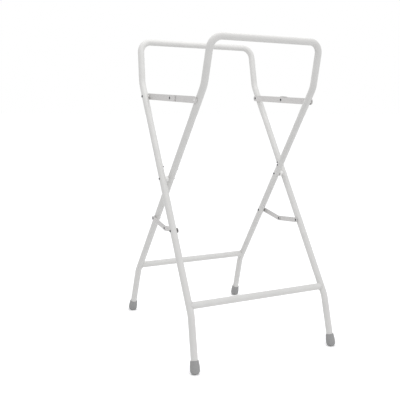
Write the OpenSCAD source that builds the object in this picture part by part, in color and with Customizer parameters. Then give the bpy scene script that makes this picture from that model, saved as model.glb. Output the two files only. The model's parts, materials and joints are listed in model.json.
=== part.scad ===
// Folding stand for a baby bath. Two U-shaped frames of bent round tube cross
// at a pair of rivets. Jointed flat stays hold them open under the top bars,
// and a second pair of jointed flat links ties the legs below the crossing.
//
// Millimetres. The origin is on the floor under the middle of the stand.
// +X runs to the right along the top bars and +Z is up. The inner frame's top
// bar is on the -Y side and its feet are on the +Y side. The outer frame is
// the other way round. The stand is drawn open.

/* [Overall size] */
// Height of the top bars' centre lines above the floor
rest_height = 1000; // [850:5:1150]
// Width of the inner frame at its top bar, from tube centre to tube centre
inner_width = 388; // [320:1:480]
// Clear gap between the inner and the outer frame's tubes
side_gap = 8.6; // [8:0.1:12]
// Height of the rivets that the two frames turn on
pivot_height = 550; // [450:1:650]
// How far the legs spread sideways towards the floor, in degrees
side_splay = 1.8; // [0:0.1:3]

/* [Leg bends] */
// Lean of the long straight part of each leg, in degrees from upright
leg_lean = 34.1; // [25:0.1:40]
// Height of the bend below the top bar
top_bend_height = 858; // [760:2:920]
// Lean of the leg above that bend
top_lean = 11.9; // [0:0.1:20]
// Height of the bend near the floor
low_bend_height = 167; // [120:1:260]
// Lean of the leg below that bend
low_lean = 15.6; // [5:0.1:25]
// Bend radius at the two bends of each leg, on the tube's centre line
leg_bend_radius = 70; // [50:1:120]
// Bend radius between the top bar and each leg
corner_radius = 38; // [30:1:60]

/* [Tube] */
// Outer diameter of the frame tube
tube_diameter = 22; // [19:0.5:28]
// Wall thickness of the frame tube
tube_wall = 1.2; // [1:0.1:2]
// Outer diameter of the two crossbars
crossbar_diameter = 22; // [16:0.5:26]
// Height of the crossbars' centre lines
crossbar_height = 192; // [190:1:320]

/* [Foot caps] */
// Diameter of a foot cap at its widest, near the floor
foot_diameter = 30.5; // [28:0.5:40]
// Diameter of a foot cap at its upper rim
foot_rim_diameter = 26.5; // [25:0.5:36]
// Length of a foot cap along the leg, from the floor
foot_length = 40; // [34:1:60]
// Height up to which a foot cap keeps its full width
foot_wide_height = 22; // [14:1:30]
// Radius of a foot cap's rounded lower edge
foot_edge_radius = 13; // [6:0.5:13.5]
// Height above the floor at which the tube ends inside its cap
tube_end_height = 12; // [9:0.5:16]

/* [Main pivot] */
// Diameter of the two pivot rivets
pivot_diameter = 4.5; // [4:0.5:6]
// Diameter of a pivot rivet's two heads
pivot_head_diameter = 7; // [7:0.5:12]
// Height of a pivot rivet's two heads
pivot_head_height = 2.2; // [1:0.1:3.5]
// Diameter of the plastic spacer between the two frames
spacer_diameter = 18.5; // [14:0.5:20]

/* [Upper stays] */
// Height of the rivets that hold the stays to the legs
stay_height = 813; // [760:1:835]
// Width of the stay strip
stay_width = 21; // [14:0.5:22]
// Thickness of the stay and link strips
strip_thickness = 2; // [1.5:0.1:2.2]
// How far the outer half runs on past the middle rivet
stay_overrun = 41; // [15:1:50]
// Diameter of the stays' rivets
stay_rivet_diameter = 5; // [4:0.5:6]

/* [Lower links] */
// Height of the rivets that hold the links to the legs
link_height = 397; // [340:1:450]
// How far the middle rivet hangs below the leg rivets
link_sag = 13.5; // [8:0.5:30]
// Width of the link strip
link_width = 16.5; // [11:0.5:18]
// Diameter of the links' rivets
link_rivet_diameter = 4.5; // [3.5:0.5:6]

/* [Small rivets above the crossing] */
// Distance from the pivot rivet to the outer leg's small rivet, along the leg
outer_rivet_distance = 44; // [30:1:60]
// Distance from the pivot rivet to the inner leg's small rivet, along the leg
inner_rivet_distance = 41; // [30:1:60]
// Diameter of the small rivets
leg_rivet_diameter = 3.2; // [2.4:0.1:5]
// Diameter of the small rivets' heads
leg_rivet_head_diameter = 6; // [5.5:0.5:9]
// Height of the small rivets' heads
leg_rivet_head_height = 3; // [1.2:0.1:3.6]

/* [Fits] */
// Radial clearance of a hole that turns on its pin
running_clearance = 0.06; // [0.03:0.01:0.1]
// Clearance of pieces that are fixed to each other
seat_clearance = 0.05; // [0.02:0.01:0.1]
// Space between the two strips of a stay or link
strip_space = 0.3; // [0.2:0.05:0.5]
// Space between a strip and the head or collar beside it
face_space = 0.12; // [0.08:0.01:0.2]

/* [Hidden] */
$fn = 48;
tube_r = tube_diameter / 2;
inner_half = inner_width / 2;
outer_half = inner_half + tube_diameter + side_gap;
splay_slope = tan(side_splay);

// Sideways spread of the legs at a height
function spread(h) = (rest_height - h) * splay_slope;
// Middle of the gap between the two frames' legs at a height
function gap_middle(h) = inner_half + tube_r + side_gap / 2 + spread(h);
// Distance of a leg's long straight part from the middle plane at a height
function lean_y(h) = (h - pivot_height) * tan(leg_lean);
// Distance at which a flat head of some radius clears the spread leg's side
function head_gap(r) = r * splay_slope + seat_clearance;

top_bend_y = lean_y(top_bend_height);
top_bar_y = top_bend_y + (rest_height - top_bend_height) * tan(top_lean);
low_bend_y = lean_y(low_bend_height);
tube_end_y = low_bend_y - (low_bend_height - tube_end_height) * tan(low_lean);
floor_y = low_bend_y - low_bend_height * tan(low_lean);

// The path of the right half of the outer frame, corner by corner
function frame_points(half) = [
    [0, top_bar_y, rest_height],
    [half, top_bar_y, rest_height],
    [half + spread(top_bend_height), top_bend_y, top_bend_height],
    [half + spread(low_bend_height), low_bend_y, low_bend_height],
    [half + spread(tube_end_height), tube_end_y, tube_end_height]
];

function unit(v) = v / norm(v);
// Angle between two directions
function turn(a, b) = acos(min(1, max(-1, a * b)));
// Direction in which a path bends when it turns from a to b
function bend_side(a, b) = unit(b - (a * b) * a);
// The same direction after the turn, carried round with the path
function carried_side(a, b) = unit((a * b) * b - a);
// Roll about heading h that brings one side direction onto another
function roll(h, from, to) = atan2(h * cross(from, to), from * to);

// Steps of the path: roll, straight length, bend radius, bend angle
function path_steps(p) =
    let (
        a = unit(p[1] - p[0]),
        b = unit(p[2] - p[1]),
        c = unit(p[3] - p[2]),
        d = unit(p[4] - p[3]),
        cut1 = corner_radius * tan(turn(a, b) / 2),
        cut2 = leg_bend_radius * tan(turn(b, c) / 2),
        cut3 = leg_bend_radius * tan(turn(c, d) / 2)
    )
    [
        [
            roll(a, [0, 0, -1], bend_side(a, b)),
            norm(p[1] - p[0]) - cut1,
            corner_radius,
            turn(a, b)
        ],
        [
            roll(b, carried_side(a, b), bend_side(b, c)),
            norm(p[2] - p[1]) - cut1 - cut2,
            leg_bend_radius,
            turn(b, c)
        ],
        [
            roll(c, carried_side(b, c), bend_side(c, d)),
            norm(p[3] - p[2]) - cut2 - cut3,
            leg_bend_radius,
            turn(c, d)
        ],
        [
            0,
            norm(p[4] - p[3]) - cut3,
            0,
            0
        ]
    ];

// Heights of the two middle rivets, and the places of the small leg rivets
link_middle_height = link_height - link_sag;
outer_rivet_y = outer_rivet_distance * sin(leg_lean);
outer_rivet_height = pivot_height + outer_rivet_distance * cos(leg_lean);
inner_rivet_y = inner_rivet_distance * sin(leg_lean);
inner_rivet_height = pivot_height + inner_rivet_distance * cos(leg_lean);

// Leg centre lines beside each rivet, on the right
inner_x_pivot = inner_half + spread(pivot_height);
outer_x_pivot = outer_half + spread(pivot_height);
inner_x_stay = inner_half + spread(stay_height);
outer_x_stay = outer_half + spread(stay_height);
inner_x_link = inner_half + spread(link_height);
outer_x_link = outer_half + spread(link_height);
inner_x_rivet = inner_half + spread(inner_rivet_height);
outer_x_rivet = outer_half + spread(outer_rivet_height);

// Sheet planes of the strips, on the right
stay_x = gap_middle(stay_height);
link_x = gap_middle(link_height);
near_face = strip_space / 2;
far_face = near_face + strip_thickness;

stay_rivet_r = stay_rivet_diameter / 2;
link_rivet_r = link_rivet_diameter / 2;
leg_rivet_r = leg_rivet_diameter / 2;
leg_rivet_head_r = leg_rivet_head_diameter / 2;
pivot_r = pivot_diameter / 2;
pivot_head_r = pivot_head_diameter / 2;
stay_head_r = stay_rivet_diameter * 0.9;
link_head_r = link_rivet_diameter * 0.9;
head_height = 1.5;
collar_r = stay_rivet_diameter * 1.2;
link_collar_r = link_rivet_diameter * 1.1;
stay_pin_y = lean_y(stay_height);
link_pin_y = lean_y(link_height);
sole_depth = 2;
lip_rise = 0.6;
lip_start = 7.5;
overhang_start = -10;
join_gap = 0.02;

paint = "#d8d7d3";
strip_paint = "#c9c7c4";
dark_metal = "#4a4b4d";
light_metal = "#d0d0ce";
rubber = "#6f7072";
spacer_plastic = "#e4e3df";

// ---- general shapes ----

// Draws the right-hand piece, or its mirror image on the left
module on_side(right) {
    if (right) {
        children();
    } else {
        mirror([1, 0, 0]) children();
    }
}

// The inner frame is the outer frame's shape turned to face the other way
module facing_back() {
    mirror([0, 1, 0]) children();
}

// A round bar along X
module bar_x(x0, x1, y, z, r) {
    translate([x0, y, z]) rotate([0, 90, 0]) cylinder(h = x1 - x0, r = r);
}

// Moves a turned shape so that its axis, drawn along Z, runs towards +X
module point_right(x, y, z) {
    translate([x, y, z]) rotate([0, 90, 0]) children();
}

// The same, but running towards -X
module point_left(x, y, z) {
    translate([x, y, z]) rotate([0, -90, 0]) children();
}

// A shallow round head that stands on Z = 0
module dome(r, h) {
    ball = (r * r + h * h) / (2 * h);
    rotate_extrude()
        intersection() {
            translate([0, h - ball]) circle(r = ball);
            square([r + 1, h + 1]);
        }
}

module tube_ring() {
    difference() {
        circle(r = tube_r);
        circle(r = tube_r - tube_wall);
    }
}

// One bend of the tube, from the heading +Z towards +X. It stops a hair short.
module elbow(radius, angle) {
    translate([radius, 0, 0]) rotate([-90, 0, 0]) rotate([0, 0, 180])
        rotate_extrude(angle = angle - (join_gap / radius) * 180 / PI)
            translate([radius, 0]) tube_ring();
}

// A ring inside the tube's wall that bridges the hair's gap after a bend, so that
// the bend and the next straight length make one solid
module wall_join() {
    translate([0, 0, -0.5])
        linear_extrude(height = 1)
            difference() {
                circle(r = tube_r - 0.05);
                circle(r = tube_r - tube_wall + 0.1);
            }
}

// Lays the tube along the steps of a path, each one starting where the last ended
module lay_tube(steps, i) {
    step = steps[i];
    rotate([0, 0, step[0]]) {
        linear_extrude(height = step[1]) tube_ring();
        if (step[3] > 0) {
            translate([0, 0, step[1]]) {
                elbow(step[2], step[3]);
                translate([step[2], 0, 0]) rotate([0, step[3], 0]) translate([-step[2], 0, 0]) {
                    wall_join();
                    lay_tube(steps, i + 1);
                }
            }
        }
    }
}

module half_frame(half) {
    translate([0, top_bar_y, rest_height]) rotate([0, 90, 0])
        lay_tube(path_steps(frame_points(half)), 0);
}

// A whole U-shaped frame, drawn the outer frame's way round
module bare_frame(half) {
    half_frame(half);
    mirror([1, 0, 0]) half_frame(half);
}

// Turns a shape drawn up the Z axis so that it runs up the leg between two points
module up_leg(low, high) {
    way = unit(high - low);
    translate(low) rotate([0, acos(way[2]), atan2(way[1], way[0])]) children();
}

// The long straight part of a right leg as a solid bar, to cut seats with
module leg_bar(half, r) {
    points = frame_points(half);
    up_leg(points[3], points[2])
        translate([0, 0, -60]) cylinder(h = norm(points[2] - points[3]) + 60, r = r);
}

// ---- the two frames ----

module outer_frame() {
    color(paint)
        difference() {
            bare_frame(outer_half);
            for (side = [0, 1]) {
                mirror([side, 0, 0]) outer_holes();
            }
        }
}

// Holes of the outer frame's right leg
module outer_holes() {
    bar_x(outer_x_pivot - 16, outer_x_pivot + 16, 0, pivot_height, pivot_r + seat_clearance);
    bar_x(outer_x_stay - 16, outer_x_stay + 16, stay_pin_y, stay_height,
        stay_rivet_r + seat_clearance);
    bar_x(outer_x_link - 16, outer_x_link + 16, link_pin_y, link_height,
        link_rivet_r + seat_clearance);
    bar_x(outer_x_rivet - 16, outer_x_rivet, outer_rivet_y, outer_rivet_height,
        leg_rivet_r + seat_clearance);
}

module inner_frame() {
    color(paint)
        facing_back()
            difference() {
                bare_frame(inner_half);
                for (side = [0, 1]) {
                    mirror([side, 0, 0]) inner_holes();
                }
            }
}

// Holes of the inner frame's right leg. The frame turns on the pivot rivet.
module inner_holes() {
    bar_x(inner_x_pivot - 16, inner_x_pivot + 16, 0, pivot_height, pivot_r + running_clearance);
    bar_x(inner_x_stay, inner_x_stay + 16, stay_pin_y, stay_height,
        stay_rivet_r + seat_clearance);
    bar_x(inner_x_link - 16, inner_x_link + 16, link_pin_y, link_height,
        link_rivet_r + seat_clearance);
    bar_x(inner_x_rivet - 16, inner_x_rivet, inner_rivet_y, inner_rivet_height,
        leg_rivet_r + seat_clearance);
}

// A crossbar whose ends are cut round to sit against the legs
module crossbar(half) {
    reach = half + spread(crossbar_height);
    difference() {
        bar_x(-reach, reach, lean_y(crossbar_height), crossbar_height, crossbar_diameter / 2);
        bar_x(-reach - 1, reach + 1, lean_y(crossbar_height), crossbar_height,
            crossbar_diameter / 2 - tube_wall);
        leg_bar(half, tube_r + seat_clearance);
        mirror([1, 0, 0]) leg_bar(half, tube_r + seat_clearance);
    }
}

module outer_crossbar() {
    color(paint) crossbar(outer_half);
}

module inner_crossbar() {
    color(paint) facing_back() crossbar(inner_half);
}

// ---- foot caps ----

// Half of a foot cap's outline. It starts a little below the floor, so that the
// floor cuts a flat sole across the rounded end.
module foot_outline() {
    side = foot_diameter / 2;
    round = foot_edge_radius;
    rim = foot_rim_diameter / 2;
    top = sole_depth + foot_length;
    intersection() {
        square([side + 5, top]);
        union() {
            translate([side - round, round]) circle(r = round);
            polygon([
                [0, 0],
                [side - round, 0],
                [side, round],
                [side, sole_depth + foot_wide_height],
                [rim, top - 1],
                [rim - 0.8, top],
                [0, top]
            ]);
        }
    }
}

// The right foot cap, its sole cut level with the floor
module foot(half) {
    points = frame_points(half);
    low = [half + spread(0), floor_y, 0];
    seat = norm(points[4] - low);
    difference() {
        up_leg(low, points[3]) {
            difference() {
                translate([0, 0, -sole_depth]) rotate_extrude() foot_outline();
                translate([0, 0, seat - seat_clearance])
                    cylinder(h = foot_length, r = tube_r + seat_clearance);
            }
        }
        translate([half, floor_y - 50, -50]) cube([100, 100, 50]);
    }
}

module outer_foot_right() {
    color(rubber) foot(outer_half);
}

module outer_foot_left() {
    color(rubber) on_side(false) foot(outer_half);
}

module inner_foot_right() {
    color(rubber) facing_back() foot(inner_half);
}

module inner_foot_left() {
    color(rubber) facing_back() on_side(false) foot(inner_half);
}

// ---- main pivot ----

// The rivet is fixed in the outer leg and the inner leg turns on it. One head lies
// on the inner leg's inside face and the other on the outer leg's outside face.
module pivot_rivet() {
    inside = inner_x_pivot - tube_r - head_gap(pivot_head_r) - running_clearance;
    outside = outer_x_pivot + tube_r + head_gap(pivot_head_r);
    bar_x(inside - 1, outside + 1, 0, pivot_height, pivot_r);
    point_left(inside, 0, pivot_height) dome(pivot_head_r, pivot_head_height);
    point_right(outside, 0, pivot_height) dome(pivot_head_r, pivot_head_height);
}

module pivot_rivet_right() {
    color(dark_metal) on_side(true) pivot_rivet();
}

module pivot_rivet_left() {
    color(dark_metal) on_side(false) pivot_rivet();
}

// The spacer is hollowed on one side to sit on the round outer leg
module pivot_spacer() {
    inside = inner_x_pivot + tube_r + 0.6;
    difference() {
        bar_x(inside, outer_x_pivot - tube_r + 3.5, 0, pivot_height, spacer_diameter / 2);
        leg_bar(outer_half, tube_r + seat_clearance);
        bar_x(inside - 1, outer_x_pivot, 0, pivot_height, pivot_r + seat_clearance);
    }
}

module pivot_spacer_right() {
    color(spacer_plastic) on_side(true) pivot_spacer();
}

module pivot_spacer_left() {
    color(spacer_plastic) on_side(false) pivot_spacer();
}

// ---- strips ----

// A flat strip in an upright plane, from a leg rivet to a middle rivet.
// It is rounded about the leg rivet and runs on past the middle one.
module strip(x0, pin_y, pin_z, mid_z, width, overrun, pin_hole, mid_hole) {
    half_length = norm([pin_y, pin_z - mid_z]);
    drop = atan2(pin_z - mid_z, abs(pin_y));
    flip = pin_y > 0 ? 0 : 1;
    translate([x0, 0, 0])
        mirror([0, flip, 0])
            translate([0, abs(pin_y), pin_z])
                rotate([drop, 0, 0])
                    rotate([0, 90, 0]) rotate([0, 0, -90])
                        linear_extrude(height = strip_thickness)
                            strip_outline(half_length, width, overrun, pin_hole, mid_hole);
}

// The strip's outline, with the leg rivet at the origin and the strip along +X
module strip_outline(length, width, overrun, pin_hole, mid_hole) {
    difference() {
        union() {
            circle(r = width / 2);
            translate([0, -width / 2]) square([length + overrun, width]);
            if (overrun == 0) {
                translate([length, 0]) circle(r = width / 2);
            }
        }
        circle(r = pin_hole);
        translate([length, 0]) circle(r = mid_hole);
    }
}

// Half of an upper stay that turns on the outer leg
module outer_stay() {
    strip(stay_x + near_face, stay_pin_y, stay_height, stay_height, stay_width,
        stay_overrun, stay_rivet_r + running_clearance, stay_rivet_r + seat_clearance);
}

// The raised lip on the outer half. Past the middle rivet it bends over the other
// half's upper edge.
module stay_lip() {
    foot = stay_width / 2 - 1;
    under = stay_width / 2 + lip_rise;
    top = under + strip_thickness;
    difference() {
        intersection() {
            translate([0, lip_start, stay_height]) rotate([90, 0, 0])
                linear_extrude(height = lip_start + stay_overrun - 4)
                    polygon([
                        [stay_x + near_face, foot],
                        [stay_x + far_face, foot],
                        [stay_x + far_face, top - 0.8],
                        [stay_x + far_face - 0.8, top],
                        [stay_x - far_face - 0.3, top],
                        [stay_x - far_face - 0.3, under],
                        [stay_x + near_face, under]
                    ]);
            translate([stay_x - 10, 0, stay_height]) rotate([90, 0, 90])
                linear_extrude(height = 20)
                    polygon([
                        [lip_start, foot],
                        [lip_start, top],
                        [-stay_overrun + 14, top],
                        [-stay_overrun + 4, under + 0.4],
                        [-stay_overrun + 4, foot]
                    ]);
        }
        translate([stay_x + near_face - 10, overhang_start, stay_height]) cube([10, 40, 30]);
    }
}

module outer_stay_right() {
    color(strip_paint) {
        outer_stay();
        stay_lip();
    }
}

module outer_stay_left() {
    color(strip_paint) on_side(false) outer_stay();
}

// Half of an upper stay that turns on the inner leg
module inner_stay() {
    strip(stay_x - far_face, -stay_pin_y, stay_height, stay_height, stay_width,
        0, stay_rivet_r + running_clearance, stay_rivet_r + seat_clearance);
}

module inner_stay_right() {
    color(strip_paint) on_side(true) inner_stay();
}

module inner_stay_left() {
    color(strip_paint) on_side(false) inner_stay();
}

// Half of a lower link that turns on the outer leg
module outer_link() {
    strip(link_x + near_face, link_pin_y, link_height, link_middle_height, link_width,
        0, link_rivet_r + running_clearance, link_rivet_r + seat_clearance);
}

module outer_link_right() {
    color(strip_paint) on_side(true) outer_link();
}

module outer_link_left() {
    color(strip_paint) on_side(false) outer_link();
}

// Half of a lower link that turns on the inner leg
module inner_link() {
    strip(link_x - far_face, -link_pin_y, link_height, link_middle_height, link_width,
        0, link_rivet_r + running_clearance, link_rivet_r + seat_clearance);
}

module inner_link_right() {
    color(strip_paint) on_side(true) inner_link();
}

module inner_link_left() {
    color(strip_paint) on_side(false) inner_link();
}

// ---- middle rivets, each in two parts that meet between the strips ----

module outer_mid_rivet(x, z, r, head_r) {
    bar_x(x + near_face, x + far_face + 0.02, 0, z, r);
    point_right(x + far_face + 0.02, 0, z) dome(head_r, head_height);
}

module inner_mid_rivet(x, z, r, head_r) {
    bar_x(x - far_face - 0.02, x - near_face, 0, z, r);
    point_left(x - far_face - 0.02, 0, z) dome(head_r, head_height);
}

module outer_stay_mid_rivet_right() {
    color(dark_metal) on_side(true)
        outer_mid_rivet(stay_x, stay_height, stay_rivet_r, stay_head_r);
}

module outer_stay_mid_rivet_left() {
    color(dark_metal) on_side(false)
        outer_mid_rivet(stay_x, stay_height, stay_rivet_r, stay_head_r);
}

module inner_stay_mid_rivet_right() {
    color(dark_metal) on_side(true)
        inner_mid_rivet(stay_x, stay_height, stay_rivet_r, stay_head_r);
}

module inner_stay_mid_rivet_left() {
    color(dark_metal) on_side(false)
        inner_mid_rivet(stay_x, stay_height, stay_rivet_r, stay_head_r);
}

module outer_link_mid_rivet_right() {
    color(dark_metal) on_side(true)
        outer_mid_rivet(link_x, link_middle_height, link_rivet_r, link_head_r);
}

module outer_link_mid_rivet_left() {
    color(dark_metal) on_side(false)
        outer_mid_rivet(link_x, link_middle_height, link_rivet_r, link_head_r);
}

module inner_link_mid_rivet_right() {
    color(dark_metal) on_side(true)
        inner_mid_rivet(link_x, link_middle_height, link_rivet_r, link_head_r);
}

module inner_link_mid_rivet_left() {
    color(dark_metal) on_side(false)
        inner_mid_rivet(link_x, link_middle_height, link_rivet_r, link_head_r);
}

// ---- rivets that hold the strips to the legs ----

// Right through the outer leg, with a head at each end
module outer_leg_rivet(strip_x, leg_x, y, z, r, head_r) {
    start = strip_x + near_face - face_space;
    end = leg_x + tube_r + head_gap(head_r);
    bar_x(start, end, y, z, r);
    point_left(start, y, z) dome(head_r, head_height);
    point_right(end, y, z) dome(head_r, head_height + 0.5);
}

// Right through the inner leg, with a head at each end
module inner_leg_rivet(strip_x, leg_x, y, z, r, head_r) {
    start = leg_x - tube_r - head_gap(head_r);
    end = strip_x - near_face + face_space;
    bar_x(start, end, y, z, r);
    point_left(start, y, z) dome(head_r, head_height + 0.5);
    point_right(end, y, z) dome(head_r, head_height);
}

// Only through the inner leg's outer wall, swelled out behind it
module inner_blind_rivet(strip_x, leg_x, y, z, r, head_r) {
    start = leg_x + 2.5;
    end = strip_x - near_face + face_space;
    bar_x(start, end, y, z, r);
    bar_x(start, start + 4, y, z, r + 1);
    point_right(end, y, z) dome(head_r, head_height);
}

module outer_stay_leg_rivet_right() {
    color(dark_metal) on_side(true)
        outer_leg_rivet(stay_x, outer_x_stay, stay_pin_y, stay_height, stay_rivet_r, stay_head_r);
}

module outer_stay_leg_rivet_left() {
    color(dark_metal) on_side(false)
        outer_leg_rivet(stay_x, outer_x_stay, stay_pin_y, stay_height, stay_rivet_r, stay_head_r);
}

module inner_stay_leg_rivet_right() {
    color(light_metal) on_side(true)
        inner_blind_rivet(stay_x, inner_x_stay, -stay_pin_y, stay_height, stay_rivet_r,
            stay_head_r);
}

module inner_stay_leg_rivet_left() {
    color(light_metal) on_side(false)
        inner_blind_rivet(stay_x, inner_x_stay, -stay_pin_y, stay_height, stay_rivet_r,
            stay_head_r);
}

module outer_link_leg_rivet_right() {
    color(dark_metal) on_side(true)
        outer_leg_rivet(link_x, outer_x_link, link_pin_y, link_height, link_rivet_r, link_head_r);
}

module outer_link_leg_rivet_left() {
    color(dark_metal) on_side(false)
        outer_leg_rivet(link_x, outer_x_link, link_pin_y, link_height, link_rivet_r, link_head_r);
}

module inner_link_leg_rivet_right() {
    color(dark_metal) on_side(true)
        inner_leg_rivet(link_x, inner_x_link, -link_pin_y, link_height, link_rivet_r,
            link_head_r);
}

module inner_link_leg_rivet_left() {
    color(dark_metal) on_side(false)
        inner_leg_rivet(link_x, inner_x_link, -link_pin_y, link_height, link_rivet_r,
            link_head_r);
}

// ---- collars that keep the strips off the legs ----

module outer_collar(strip_x, leg_x, y, z, r, bore) {
    start = strip_x + far_face + face_space;
    difference() {
        bar_x(start, leg_x - tube_r + 1.5, y, z, r);
        leg_bar(outer_half, tube_r + seat_clearance);
        bar_x(start - 1, leg_x, y, z, bore + seat_clearance);
    }
}

module inner_collar(strip_x, leg_x, y, z, r, bore) {
    end = strip_x - far_face - face_space;
    difference() {
        bar_x(leg_x + tube_r - 1.5, end, y, z, r);
        facing_back() leg_bar(inner_half, tube_r + seat_clearance);
        bar_x(leg_x, end + 1, y, z, bore + seat_clearance);
    }
}

module outer_stay_collar_right() {
    color(spacer_plastic) on_side(true)
        outer_collar(stay_x, outer_x_stay, stay_pin_y, stay_height, collar_r, stay_rivet_r);
}

module outer_stay_collar_left() {
    color(spacer_plastic) on_side(false)
        outer_collar(stay_x, outer_x_stay, stay_pin_y, stay_height, collar_r, stay_rivet_r);
}

module inner_stay_collar_right() {
    color(spacer_plastic) on_side(true)
        inner_collar(stay_x, inner_x_stay, -stay_pin_y, stay_height, collar_r, stay_rivet_r);
}

module inner_stay_collar_left() {
    color(spacer_plastic) on_side(false)
        inner_collar(stay_x, inner_x_stay, -stay_pin_y, stay_height, collar_r, stay_rivet_r);
}

module outer_link_collar_right() {
    color(dark_metal) on_side(true)
        outer_collar(link_x, outer_x_link, link_pin_y, link_height, link_collar_r, link_rivet_r);
}

module outer_link_collar_left() {
    color(dark_metal) on_side(false)
        outer_collar(link_x, outer_x_link, link_pin_y, link_height, link_collar_r, link_rivet_r);
}

module inner_link_collar_right() {
    color(dark_metal) on_side(true)
        inner_collar(link_x, inner_x_link, -link_pin_y, link_height, link_collar_r, link_rivet_r);
}

module inner_link_collar_left() {
    color(dark_metal) on_side(false)
        inner_collar(link_x, inner_x_link, -link_pin_y, link_height, link_collar_r, link_rivet_r);
}

// ---- small rivets in the legs' inner faces, above the crossing ----

module small_rivet(leg_x, y, z) {
    start = leg_x - tube_r - head_gap(leg_rivet_head_r);
    bar_x(start - 1, start + 6, y, z, leg_rivet_r);
    bar_x(start + 2.5, start + 6, y, z, leg_rivet_r + 0.8);
    point_left(start, y, z) dome(leg_rivet_head_r, leg_rivet_head_height);
}

module outer_small_rivet_right() {
    color(dark_metal) on_side(true) small_rivet(outer_x_rivet, outer_rivet_y, outer_rivet_height);
}

module outer_small_rivet_left() {
    color(dark_metal) on_side(false) small_rivet(outer_x_rivet, outer_rivet_y, outer_rivet_height);
}

module inner_small_rivet_right() {
    color(dark_metal) on_side(true) small_rivet(inner_x_rivet, -inner_rivet_y, inner_rivet_height);
}

module inner_small_rivet_left() {
    color(dark_metal) on_side(false) small_rivet(inner_x_rivet, -inner_rivet_y, inner_rivet_height);
}

// ---- assembly ----

outer_frame();
inner_frame();
outer_crossbar();
inner_crossbar();
outer_foot_right();
outer_foot_left();
inner_foot_right();
inner_foot_left();
pivot_rivet_right();
pivot_rivet_left();
pivot_spacer_right();
pivot_spacer_left();
outer_stay_right();
outer_stay_left();
inner_stay_right();
inner_stay_left();
outer_stay_mid_rivet_right();
outer_stay_mid_rivet_left();
inner_stay_mid_rivet_right();
inner_stay_mid_rivet_left();
outer_stay_leg_rivet_right();
outer_stay_leg_rivet_left();
inner_stay_leg_rivet_right();
inner_stay_leg_rivet_left();
outer_stay_collar_right();
outer_stay_collar_left();
inner_stay_collar_right();
inner_stay_collar_left();
outer_link_right();
outer_link_left();
inner_link_right();
inner_link_left();
outer_link_mid_rivet_right();
outer_link_mid_rivet_left();
inner_link_mid_rivet_right();
inner_link_mid_rivet_left();
outer_link_leg_rivet_right();
outer_link_leg_rivet_left();
inner_link_leg_rivet_right();
inner_link_leg_rivet_left();
outer_link_collar_right();
outer_link_collar_left();
inner_link_collar_right();
inner_link_collar_left();
outer_small_rivet_right();
outer_small_rivet_left();
inner_small_rivet_right();
inner_small_rivet_left();
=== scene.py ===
"""The looks of a folding baby bath stand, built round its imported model. Metres, +Z up."""

import json
import math

import bpy
from mathutils import Matrix, Vector


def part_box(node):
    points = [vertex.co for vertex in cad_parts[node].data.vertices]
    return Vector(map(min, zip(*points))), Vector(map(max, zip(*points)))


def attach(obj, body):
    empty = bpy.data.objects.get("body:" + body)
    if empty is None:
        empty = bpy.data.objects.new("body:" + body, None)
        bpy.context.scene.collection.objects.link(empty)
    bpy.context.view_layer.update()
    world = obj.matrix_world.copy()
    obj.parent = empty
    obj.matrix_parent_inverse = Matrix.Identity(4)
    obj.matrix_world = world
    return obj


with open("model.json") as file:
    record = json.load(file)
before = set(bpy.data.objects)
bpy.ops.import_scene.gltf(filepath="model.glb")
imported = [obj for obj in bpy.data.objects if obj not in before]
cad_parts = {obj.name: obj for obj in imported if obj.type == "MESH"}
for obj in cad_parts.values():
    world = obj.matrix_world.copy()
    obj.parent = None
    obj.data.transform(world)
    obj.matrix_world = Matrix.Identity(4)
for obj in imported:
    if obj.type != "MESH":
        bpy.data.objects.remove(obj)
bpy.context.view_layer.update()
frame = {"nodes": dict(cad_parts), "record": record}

nodes = frame["nodes"]

# ---- camera: fitted to the tubes and feet in the photograph ----

CAMERA_PLACE = Vector((-1.0710, -1.9297, 0.8566))
CAMERA_HEADING = 0.5056  # radians from +Y towards +X
CAMERA_TILT = 0.1692  # radians below the horizon
CAMERA_ROLL = 0.0282  # radians
CAMERA_SENSOR = 36  # mm wide
CAMERA_LENS = 57.85  # mm
CAMERA_SHIFT = (-0.0619, -0.0107)  # shares of the sensor's width


def make_camera():
    ahead = Vector((
        math.sin(CAMERA_HEADING) * math.cos(CAMERA_TILT),
        math.cos(CAMERA_HEADING) * math.cos(CAMERA_TILT),
        -math.sin(CAMERA_TILT),
    ))
    level = Vector((math.cos(CAMERA_HEADING), -math.sin(CAMERA_HEADING), 0))
    above = level.cross(ahead)
    right = level * math.cos(CAMERA_ROLL) + above * math.sin(CAMERA_ROLL)
    up = above * math.cos(CAMERA_ROLL) - level * math.sin(CAMERA_ROLL)
    data = bpy.data.cameras.new("camera")
    data.sensor_width = CAMERA_SENSOR
    data.lens = CAMERA_LENS
    data.shift_x, data.shift_y = CAMERA_SHIFT
    camera = bpy.data.objects.new("camera", data)
    turn = Matrix((right, up, -ahead)).transposed().to_4x4()
    camera.matrix_world = Matrix.Translation(CAMERA_PLACE) @ turn
    bpy.context.scene.collection.objects.link(camera)
    bpy.context.scene.camera = camera


# ---- node helpers ----


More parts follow.
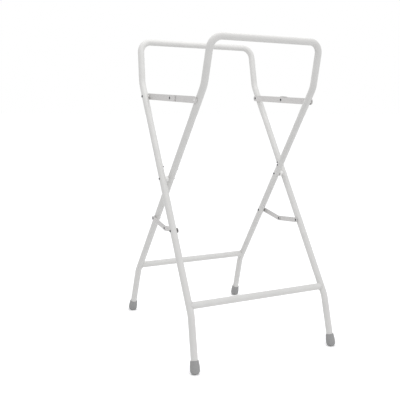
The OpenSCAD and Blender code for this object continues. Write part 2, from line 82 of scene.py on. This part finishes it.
class Shader:
    """The node tree of a material or a world, with short calls to add and join its nodes."""

    def __init__(self, owner):
        owner.use_nodes = True
        self.owner = owner
        self.tree = owner.node_tree
        self.tree.nodes.clear()

    def add(self, kind, **settings):
        node = self.tree.nodes.new(kind)
        for key, value in settings.items():
            setattr(node, key, value)
        return node

    def join(self, source, target):
        self.tree.links.new(source, target)

    def noise(self, scale, detail=3, roughness=0.5, stretch=(1, 1, 1)):
        """A noise texture's value, in the object's own metres."""
        place = self.add("ShaderNodeTexCoord")
        mapping = self.add("ShaderNodeMapping")
        mapping.inputs["Scale"].default_value = stretch
        self.join(place.outputs["Object"], mapping.inputs["Vector"])
        node = self.add("ShaderNodeTexNoise")
        node.inputs["Scale"].default_value = scale
        node.inputs["Detail"].default_value = detail
        node.inputs["Roughness"].default_value = roughness
        self.join(mapping.outputs["Vector"], node.inputs["Vector"])
        return node.outputs["Fac"]

    def span(self, value, low, high, start=0.3, end=0.7):
        """Maps a value from start..end onto low..high."""
        node = self.add("ShaderNodeMapRange")
        node.inputs["From Min"].default_value = start
        node.inputs["From Max"].default_value = end
        node.inputs["To Min"].default_value = low
        node.inputs["To Max"].default_value = high
        self.join(value, node.inputs["Value"])
        return node.outputs["Result"]

    def blend(self, share, first, second):
        """A colour between two, by a share from 0 to 1."""
        node = self.add("ShaderNodeMix", data_type="RGBA")
        node.inputs["A"].default_value = (*first, 1)
        node.inputs["B"].default_value = (*second, 1)
        self.join(share, node.inputs["Factor"])
        return node.outputs["Result"]

    def bump(self, height, distance, under=None):
        node = self.add("ShaderNodeBump")
        node.inputs["Distance"].default_value = distance
        self.join(height, node.inputs["Height"])
        if under:
            self.join(under, node.inputs["Normal"])
        return node.outputs["Normal"]

    def seen_ray(self):
        """1 for what the camera sees, also mirrored or through glass, and 0 for the rest."""
        path = self.add("ShaderNodeLightPath")
        total = path.outputs["Is Camera Ray"]
        for name in ("Is Glossy Ray", "Is Transmission Ray"):
            larger = self.add("ShaderNodeMath", operation="MAXIMUM")
            self.join(total, larger.inputs[0])
            self.join(path.outputs[name], larger.inputs[1])
            total = larger.outputs["Value"]
        return total

    def background(self, colour, strength):
        node = self.add("ShaderNodeBackground")
        node.inputs["Color"].default_value = (*colour, 1)
        node.inputs["Strength"].default_value = strength
        return node.outputs["Background"]

    def end(self, surface, kind="ShaderNodeOutputMaterial"):
        """Joins a surface to the tree's output and gives back the tree's owner."""
        self.join(surface, self.add(kind).inputs["Surface"])
        return self.owner

    def principled(self, colour, roughness, normal, **constants):
        """Ends the tree in one Principled surface."""
        node = self.add("ShaderNodeBsdfPrincipled")
        for key, value in constants.items():
            node.inputs[key.replace("_", " ")].default_value = value
        self.join(colour, node.inputs["Base Color"])
        self.join(roughness, node.inputs["Roughness"])
        self.join(normal, node.inputs["Normal"])
        return self.end(node.outputs["BSDF"])


def material_shader(name):
    return Shader(bpy.data.materials.new(name))


def shade(colour, factor):
    """The same colour, darker or lighter."""
    return tuple(channel * factor for channel in colour)


# ---- materials: noise scales are per metre, bump distances are in metres ----

FRAME_PAINT = (0.660, 0.656, 0.640)
STRIP_PAINT = (0.607, 0.596, 0.584)
RUBBER = (0.300, 0.300, 0.298)
DARK_STEEL = (0.070, 0.072, 0.078)
LIGHT_STEEL = (0.720, 0.715, 0.705)
NYLON = (0.800, 0.795, 0.780)


def powder_coat(name, colour, orange_peel):
    """Satin powder coat: an even colour, a fine orange peel and a few dull spots."""
    shader = material_shader(name)
    mottle = shader.span(shader.noise(scale=28, detail=4), low=0, high=1)
    tint = shader.blend(mottle, shade(colour, 0.975), shade(colour, 1.02))
    roughness = shader.span(shader.noise(scale=90), low=0.38, high=0.50)
    peel = shader.bump(shader.noise(scale=900, detail=2), orange_peel)
    grain = shader.bump(shader.noise(scale=4200, detail=2), orange_peel / 4, under=peel)
    return shader.principled(tint, roughness, grain, Specular_IOR_Level=0.42)


def moulded_rubber(name, colour):
    """Matt rubber with a fine eroded grain and pale scuffs."""
    shader = material_shader(name)
    noise = shader.noise(scale=260, detail=5, roughness=0.65)
    scuffs = shader.span(noise, low=0, high=1, start=0.42, end=0.78)
    tint = shader.blend(scuffs, colour, shade(colour, 1.18))
    roughness = shader.span(shader.noise(scale=700), low=0.52, high=0.68)
    grain = shader.bump(shader.noise(scale=2600, detail=4, roughness=0.6), 0.00012)
    return shader.principled(tint, roughness, grain, Specular_IOR_Level=0.45)


def fastener_metal(name, colour, metallic, smoothest, roughest):
    """Pressed metal of rivets and link collars, with turning marks and small dents."""
    shader = material_shader(name)
    mottle = shader.span(shader.noise(scale=1100, detail=4), low=0, high=1)
    tint = shader.blend(mottle, shade(colour, 0.8), shade(colour, 1.15))
    roughness = shader.span(shader.noise(scale=600), smoothest, roughest)
    dents = shader.bump(shader.noise(scale=1500, detail=2), 0.00006)
    turned = shader.noise(scale=1800, detail=2, stretch=(0.1, 1, 1))
    marks = shader.bump(turned, 0.00002, under=dents)
    return shader.principled(tint, roughness, marks, Metallic=metallic)


def moulded_nylon(name, colour):
    """Off-white nylon of the spacers and stay collars, a little cloudy."""
    shader = material_shader(name)
    cloud = shader.span(shader.noise(scale=120), low=0, high=1)
    tint = shader.blend(cloud, shade(colour, 0.96), shade(colour, 1.03))
    roughness = shader.span(shader.noise(scale=400), low=0.42, high=0.56)
    grain = shader.bump(shader.noise(scale=1800), 0.00005)
    return shader.principled(tint, roughness, grain, Specular_IOR_Level=0.4)


def paint_nodes(finishes):
    """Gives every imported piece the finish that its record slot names."""
    for entry in frame["record"]["subparts"]:
        for place in nodes[entry["node"]].material_slots:
            place.material = finishes[entry["material_slot"]]


# ---- weld beads where the crossbars meet the legs ----

TUBE_RADIUS = 0.011
CROSSBAR_HEIGHT = 0.192
SIDE_SPLAY = math.radians(1.8)
LEG_LEAN = math.radians(34.1)
BEAD_RADIUS = 0.0016
BEAD_RIPPLES = 30
BEAD_RIPPLE_SHARE = 0.07  # of the bead's radius
BEAD_STEPS = 120
BEAD_SIDES = 10


def bead_point(leg_x, bar_y, angle, forward):
    """A point where the crossbar's surface meets the leg's, by its angle round the bar."""
    offset = Vector((0, math.cos(angle), math.sin(angle))) * TUBE_RADIUS
    slope = Vector((-math.tan(SIDE_SPLAY), forward * math.tan(LEG_LEAN), 1)).normalized()
    # The bar's line at this angle runs along X. It meets the leg's surface at the
    # roots of square * x ** 2 + linear * x + constant, and the lower root is the
    # side of the leg that the bar comes from.
    square = 1 - slope.x ** 2
    linear = -2 * slope.x * offset.dot(slope)
    constant = offset.dot(offset) - offset.dot(slope) ** 2 - TUBE_RADIUS ** 2
    root = math.sqrt(max(0, linear ** 2 - 4 * square * constant))
    x = -(linear + root) / (2 * square)
    return Vector((leg_x + x, bar_y + offset.y, CROSSBAR_HEIGHT + offset.z))


def bead_vertices(leg_x, bar_y, forward, side):
    """Rings of points round the joint's line. side is 1 at the right and -1 at the left."""
    centre = Vector((leg_x, bar_y, CROSSBAR_HEIGHT))
    path = [
        bead_point(leg_x, bar_y, 2 * math.pi * step / BEAD_STEPS, forward)
        for step in range(BEAD_STEPS)
    ]
    vertices = []
    for step, point in enumerate(path):
        along = (path[(step + 1) % BEAD_STEPS] - path[step - 1]).normalized()
        out = (point - centre).normalized()
        out = (out - along * out.dot(along)).normalized()
        across = along.cross(out)
        wave = math.sin(2 * math.pi * BEAD_RIPPLES * step / BEAD_STEPS)
        radius = BEAD_RADIUS * (1 + BEAD_RIPPLE_SHARE * wave)
        for corner in range(BEAD_SIDES):
            turn = 2 * math.pi * corner / BEAD_SIDES
            place = point + (out * math.cos(turn) + across * math.sin(turn)) * radius
            vertices.append((place.x * side, place.y, place.z))
    return vertices


def bead_faces(side):
    """Quads between each ring and the next, which face outwards on either side."""
    faces = []
    for step in range(BEAD_STEPS):
        ring = step * BEAD_SIDES
        after = (step + 1) % BEAD_STEPS * BEAD_SIDES
        for corner in range(BEAD_SIDES):
            beside = (corner + 1) % BEAD_SIDES
            quad = [ring + corner, after + corner, after + beside, ring + beside]
            faces.append(quad if side > 0 else quad[::-1])
    return faces


def weld_bead(name, leg_x, bar_y, forward, side):
    """A rippled bead of weld round one end of a crossbar."""
    faces = bead_faces(side)
    mesh = bpy.data.meshes.new(name)
    mesh.from_pydata(bead_vertices(leg_x, bar_y, forward, side), [], faces)
    mesh.polygons.foreach_set("use_smooth", [True] * len(faces))
    bead = bpy.data.objects.new(name, mesh)
    bpy.context.scene.collection.objects.link(bead)
    return bead


def make_welds(paint):
    """Four beads. A crossbar's tips end about 1 mm before the middle line of its leg."""
    for kind, forward in (("outer", 1), ("inner", -1)):
        low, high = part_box(kind + "_crossbar")
        bar_y = (low.y + high.y) / 2
        leg_x = high.x
        for label, side in (("right", 1), ("left", -1)):
            bead = weld_bead(f"{kind}_weld_{label}", leg_x, bar_y, forward, side)
            bead.data.materials.append(paint)
            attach(bead, kind + "_frame_body")


# ---- floor, surroundings and lights ----

FLOOR_REACH = 15  # from the origin to each edge
FLOOR_DROP = 0.0003  # keeps it just under the soles
FLOOR_LIT = (0.9, 0.9, 0.9)  # the colour that throws light back on the stand
FLOOR_SEEN = (1.28, 1.28, 1.28)  # the colour that the camera sees
FLOOR_GLOSS = 0.06  # share of the gloss in the floor
FLOOR_ROUGHNESS = 0.16

SKY_SEEN = (1, 1, 1)
SKY_LIT = (0.985, 0.985, 1)
SKY_STRENGTH = 0.84

KEY_HEADING = 20  # degrees from -Y towards +X, the side that it shines from
KEY_RISE = 30  # degrees above the horizon
KEY_SPREAD = 60  # degrees that it takes up in the sky
KEY_STRENGTH = 0.35  # watts per square metre
KEY_DISTANCE = 4  # a sun shines alike from anywhere

OVERHEAD_PLACE = (-0.1, 0, 1.75)
OVERHEAD_WIDTH = 1.1
OVERHEAD_POWER = 5.2  # watts


def floor_material():
    """Matt and a little glossy, paler to the camera than to the light on the stand."""
    shader = material_shader("floor")
    matt = shader.add("ShaderNodeBsdfDiffuse")
    shader.join(shader.blend(shader.seen_ray(), FLOOR_LIT, FLOOR_SEEN), matt.inputs["Color"])
    gloss = shader.add("ShaderNodeBsdfGlossy")
    gloss.inputs["Roughness"].default_value = FLOOR_ROUGHNESS
    mix = shader.add("ShaderNodeMixShader")
    mix.inputs["Fac"].default_value = FLOOR_GLOSS
    shader.join(matt.outputs["BSDF"], mix.inputs[1])
    shader.join(gloss.outputs["BSDF"], mix.inputs[2])
    return shader.end(mix.outputs["Shader"])


def make_floor():
    """A pale floor that the camera sees as near white, with the stand's faint shadow."""
    mesh = bpy.data.meshes.new("floor")
    corners = [
        (across * FLOOR_REACH, away * FLOOR_REACH, 0)
        for across, away in ((-1, -1), (1, -1), (1, 1), (-1, 1))
    ]
    mesh.from_pydata(corners, [], [(0, 1, 2, 3)])
    mesh.materials.append(floor_material())
    floor = bpy.data.objects.new("floor", mesh)
    floor.location.z = -FLOOR_DROP
    bpy.context.scene.collection.objects.link(floor)


def make_world():
    """White where the camera looks past the floor, and a soft even light elsewhere."""
    world = bpy.data.worlds.new("world")
    bpy.context.scene.world = world
    shader = Shader(world)
    mix = shader.add("ShaderNodeMixShader")
    shader.join(shader.seen_ray(), mix.inputs["Fac"])
    shader.join(shader.background(SKY_LIT, SKY_STRENGTH), mix.inputs[1])
    shader.join(shader.background(SKY_SEEN, 1), mix.inputs[2])
    shader.end(mix.outputs["Shader"], "ShaderNodeOutputWorld")


def make_key():
    """A broad far lamp."""
    data = bpy.data.lights.new("key", "SUN")
    data.energy = KEY_STRENGTH
    data.angle = math.radians(KEY_SPREAD)
    turn = math.radians(KEY_HEADING)
    rise = math.radians(KEY_RISE)
    source = Vector((
        math.sin(turn) * math.cos(rise),
        -math.cos(turn) * math.cos(rise),
        math.sin(rise),
    ))
    lamp = bpy.data.objects.new("key", data)
    lamp.rotation_mode = "QUATERNION"
    lamp.rotation_quaternion = source.to_track_quat("Z", "Y")
    lamp.location = source * KEY_DISTANCE
    bpy.context.scene.collection.objects.link(lamp)


def make_overhead():
    """A softbox close above the top bars, whose light falls off towards the floor."""
    data = bpy.data.lights.new("overhead", "AREA")
    data.shape = "SQUARE"
    data.size = OVERHEAD_WIDTH
    data.energy = OVERHEAD_POWER
    lamp = bpy.data.objects.new("overhead", data)
    lamp.location = OVERHEAD_PLACE
    bpy.context.scene.collection.objects.link(lamp)


bpy.context.scene.view_settings.view_transform = "Standard"
make_camera()
make_world()
make_floor()
make_key()
make_overhead()

FINISHES = {
    "frame_paint": powder_coat("frame_paint", FRAME_PAINT, orange_peel=0.00006),
    "strip_paint": powder_coat("strip_paint", STRIP_PAINT, orange_peel=0.00004),
    "foot_rubber": moulded_rubber("foot_rubber", RUBBER),
    "spacer_plastic": moulded_nylon("spacer_plastic", NYLON),
    "rivet_dark": fastener_metal(
        "rivet_dark", DARK_STEEL, metallic=0.7, smoothest=0.36, roughest=0.52
    ),
    "rivet_light": fastener_metal(
        "rivet_light", LIGHT_STEEL, metallic=0.8, smoothest=0.28, roughest=0.42
    ),
}
paint_nodes(FINISHES)
make_welds(FINISHES["frame_paint"])

bpy.context.view_layer.update()
